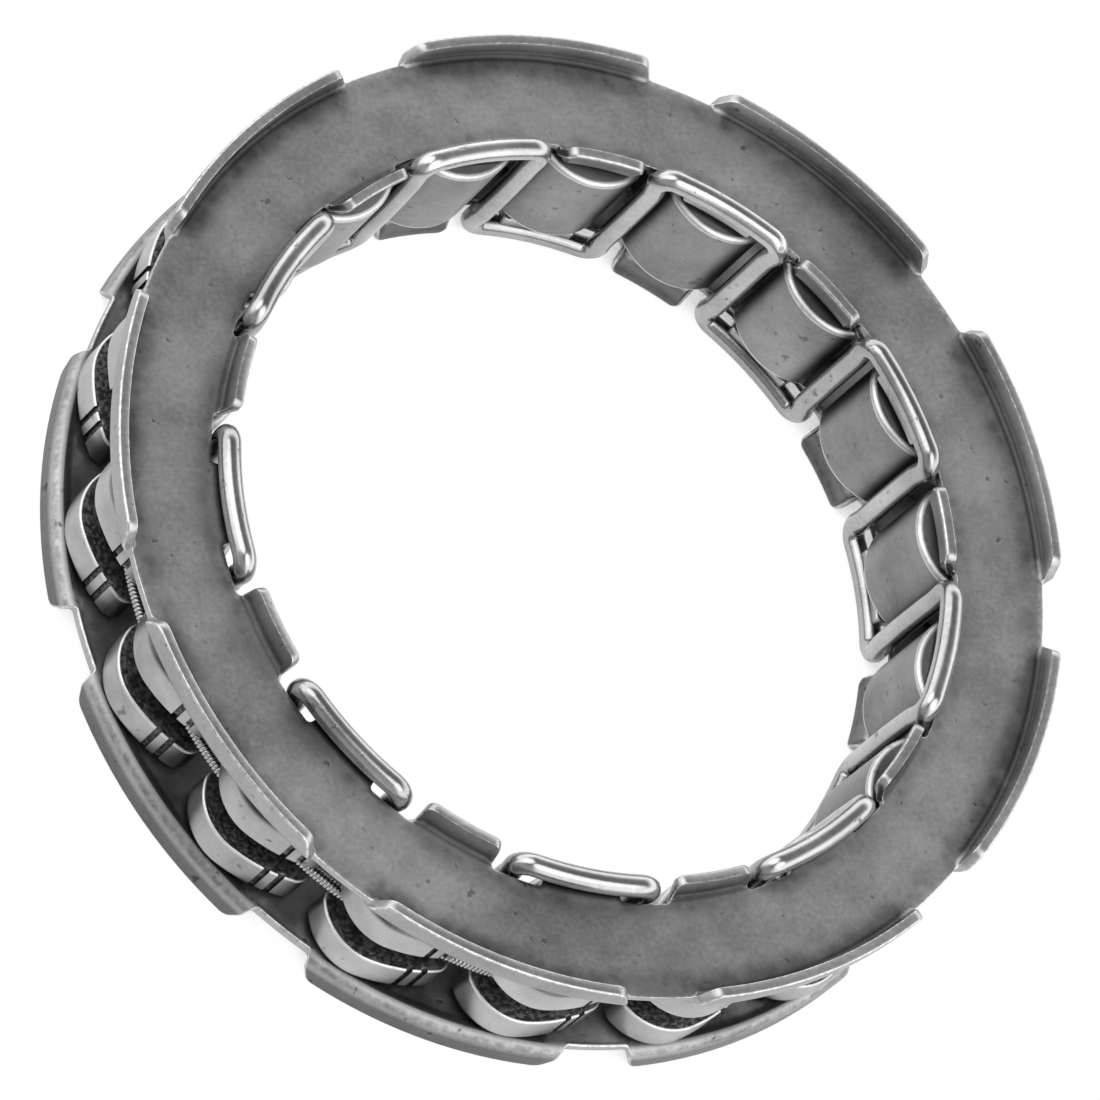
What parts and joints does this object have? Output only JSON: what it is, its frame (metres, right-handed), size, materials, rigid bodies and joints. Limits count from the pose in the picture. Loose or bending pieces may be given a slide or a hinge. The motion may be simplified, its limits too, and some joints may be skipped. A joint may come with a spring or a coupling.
{
  "type": "sprag clutch",
  "caption": "Round one-way clutch insert: tilting sprags between two pressed side plates, joined by a zigzag wire and circled by a garter spring.",
  "frame": {"origin": "on the clutch's axis, level with the edges of the rear plate's rim tabs, which it stands on", "axes": "+Z along the axis, from the rear plate to the front plate; +X through the middle of sprag_01"},
  "size_m": [0.0756, 0.0755, 0.0154],
  "materials": {
    "plate_steel": "rolled and pressed sheet steel, satin grey with fine pits and dark smudges along the bends",
    "wire_steel": "drawn spring wire, polished on the loops",
    "spring_steel": "fine drawn spring wire, dull",
    "sprag_steel": "hardened and tumbled bearing steel, satin lands and dark groove walls"
  },
  "bodies": {
    "cage": {"front_side_plate": "plate_steel", "rear_side_plate": "plate_steel", "zigzag_wire": "wire_steel", "garter_spring": "spring_steel"},
    "sprag_01_body": {"sprag_01": "sprag_steel"},
    "sprag_02_body": {"sprag_02": "sprag_steel"},
    "sprag_03_body": {"sprag_03": "sprag_steel"},
    "sprag_04_body": {"sprag_04": "sprag_steel"},
    "sprag_05_body": {"sprag_05": "sprag_steel"},
    "sprag_06_body": {"sprag_06": "sprag_steel"},
    "sprag_07_body": {"sprag_07": "sprag_steel"},
    "sprag_08_body": {"sprag_08": "sprag_steel"},
    "sprag_09_body": {"sprag_09": "sprag_steel"},
    "sprag_10_body": {"sprag_10": "sprag_steel"},
    "sprag_11_body": {"sprag_11": "sprag_steel"},
    "sprag_12_body": {"sprag_12": "sprag_steel"},
    "sprag_13_body": {"sprag_13": "sprag_steel"},
    "sprag_14_body": {"sprag_14": "sprag_steel"},
    "sprag_15_body": {"sprag_15": "sprag_steel"},
    "sprag_16_body": {"sprag_16": "sprag_steel"},
    "sprag_17_body": {"sprag_17": "sprag_steel"},
    "sprag_18_body": {"sprag_18": "sprag_steel"}
  },
  "joints": [
    {"name": "sprag_01_tilt", "type": "hinge", "parent": "cage", "child": "sprag_01_body", "pos_m": [0.0309, 0, 0.00771], "axis": [0, 0, 1], "range_deg": [-6, 2]},
    {"name": "sprag_02_tilt", "type": "hinge", "parent": "cage", "child": "sprag_02_body", "pos_m": [0.02904, 0.01057, 0.00771], "axis": [0, 0, 1], "range_deg": [-6, 2]},
    {"name": "sprag_03_tilt", "type": "hinge", "parent": "cage", "child": "sprag_03_body", "pos_m": [0.02367, 0.01986, 0.00771], "axis": [0, 0, 1], "range_deg": [-6, 2]},
    {"name": "sprag_04_tilt", "type": "hinge", "parent": "cage", "child": "sprag_04_body", "pos_m": [0.01545, 0.02676, 0.00771], "axis": [0, 0, 1], "range_deg": [-6, 2]},
    {"name": "sprag_05_tilt", "type": "hinge", "parent": "cage", "child": "sprag_05_body", "pos_m": [0.00537, 0.03043, 0.00771], "axis": [0, 0, 1], "range_deg": [-6, 2]},
    {"name": "sprag_06_tilt", "type": "hinge", "parent": "cage", "child": "sprag_06_body", "pos_m": [-0.00537, 0.03043, 0.00771], "axis": [0, 0, 1], "range_deg": [-6, 2]},
    {"name": "sprag_07_tilt", "type": "hinge", "parent": "cage", "child": "sprag_07_body", "pos_m": [-0.01545, 0.02676, 0.00771], "axis": [0, 0, 1], "range_deg": [-6, 2]},
    {"name": "sprag_08_tilt", "type": "hinge", "parent": "cage", "child": "sprag_08_body", "pos_m": [-0.02367, 0.01986, 0.00771], "axis": [0, 0, 1], "range_deg": [-6, 2]},
    {"name": "sprag_09_tilt", "type": "hinge", "parent": "cage", "child": "sprag_09_body", "pos_m": [-0.02904, 0.01057, 0.00771], "axis": [0, 0, 1], "range_deg": [-6, 2]},
    {"name": "sprag_10_tilt", "type": "hinge", "parent": "cage", "child": "sprag_10_body", "pos_m": [-0.0309, 0, 0.00771], "axis": [0, 0, 1], "range_deg": [-6, 2]},
    {"name": "sprag_11_tilt", "type": "hinge", "parent": "cage", "child": "sprag_11_body", "pos_m": [-0.02904, -0.01057, 0.00771], "axis": [0, 0, 1], "range_deg": [-6, 2]},
    {"name": "sprag_12_tilt", "type": "hinge", "parent": "cage", "child": "sprag_12_body", "pos_m": [-0.02367, -0.01986, 0.00771], "axis": [0, 0, 1], "range_deg": [-6, 2]},
    {"name": "sprag_13_tilt", "type": "hinge", "parent": "cage", "child": "sprag_13_body", "pos_m": [-0.01545, -0.02676, 0.00771], "axis": [0, 0, 1], "range_deg": [-6, 2]},
    {"name": "sprag_14_tilt", "type": "hinge", "parent": "cage", "child": "sprag_14_body", "pos_m": [-0.00537, -0.03043, 0.00771], "axis": [0, 0, 1], "range_deg": [-6, 2]},
    {"name": "sprag_15_tilt", "type": "hinge", "parent": "cage", "child": "sprag_15_body", "pos_m": [0.00537, -0.03043, 0.00771], "axis": [0, 0, 1], "range_deg": [-6, 2]},
    {"name": "sprag_16_tilt", "type": "hinge", "parent": "cage", "child": "sprag_16_body", "pos_m": [0.01545, -0.02676, 0.00771], "axis": [0, 0, 1], "range_deg": [-6, 2]},
    {"name": "sprag_17_tilt", "type": "hinge", "parent": "cage", "child": "sprag_17_body", "pos_m": [0.02367, -0.01986, 0.00771], "axis": [0, 0, 1], "range_deg": [-6, 2]},
    {"name": "sprag_18_tilt", "type": "hinge", "parent": "cage", "child": "sprag_18_body", "pos_m": [0.02904, -0.01057, 0.00771], "axis": [0, 0, 1], "range_deg": [-6, 2]}
  ],
  "couplings": [
    {"joint": "sprag_02_tilt", "follows": "sprag_01_tilt", "ratio": 1},
    {"joint": "sprag_03_tilt", "follows": "sprag_01_tilt", "ratio": 1},
    {"joint": "sprag_04_tilt", "follows": "sprag_01_tilt", "ratio": 1},
    {"joint": "sprag_05_tilt", "follows": "sprag_01_tilt", "ratio": 1},
    {"joint": "sprag_06_tilt", "follows": "sprag_01_tilt", "ratio": 1},
    {"joint": "sprag_07_tilt", "follows": "sprag_01_tilt", "ratio": 1},
    {"joint": "sprag_08_tilt", "follows": "sprag_01_tilt", "ratio": 1},
    {"joint": "sprag_09_tilt", "follows": "sprag_01_tilt", "ratio": 1},
    {"joint": "sprag_10_tilt", "follows": "sprag_01_tilt", "ratio": 1},
    {"joint": "sprag_11_tilt", "follows": "sprag_01_tilt", "ratio": 1},
    {"joint": "sprag_12_tilt", "follows": "sprag_01_tilt", "ratio": 1},
    {"joint": "sprag_13_tilt", "follows": "sprag_01_tilt", "ratio": 1},
    {"joint": "sprag_14_tilt", "follows": "sprag_01_tilt", "ratio": 1},
    {"joint": "sprag_15_tilt", "follows": "sprag_01_tilt", "ratio": 1},
    {"joint": "sprag_16_tilt", "follows": "sprag_01_tilt", "ratio": 1},
    {"joint": "sprag_17_tilt", "follows": "sprag_01_tilt", "ratio": 1},
    {"joint": "sprag_18_tilt", "follows": "sprag_01_tilt", "ratio": 1}
  ]
}
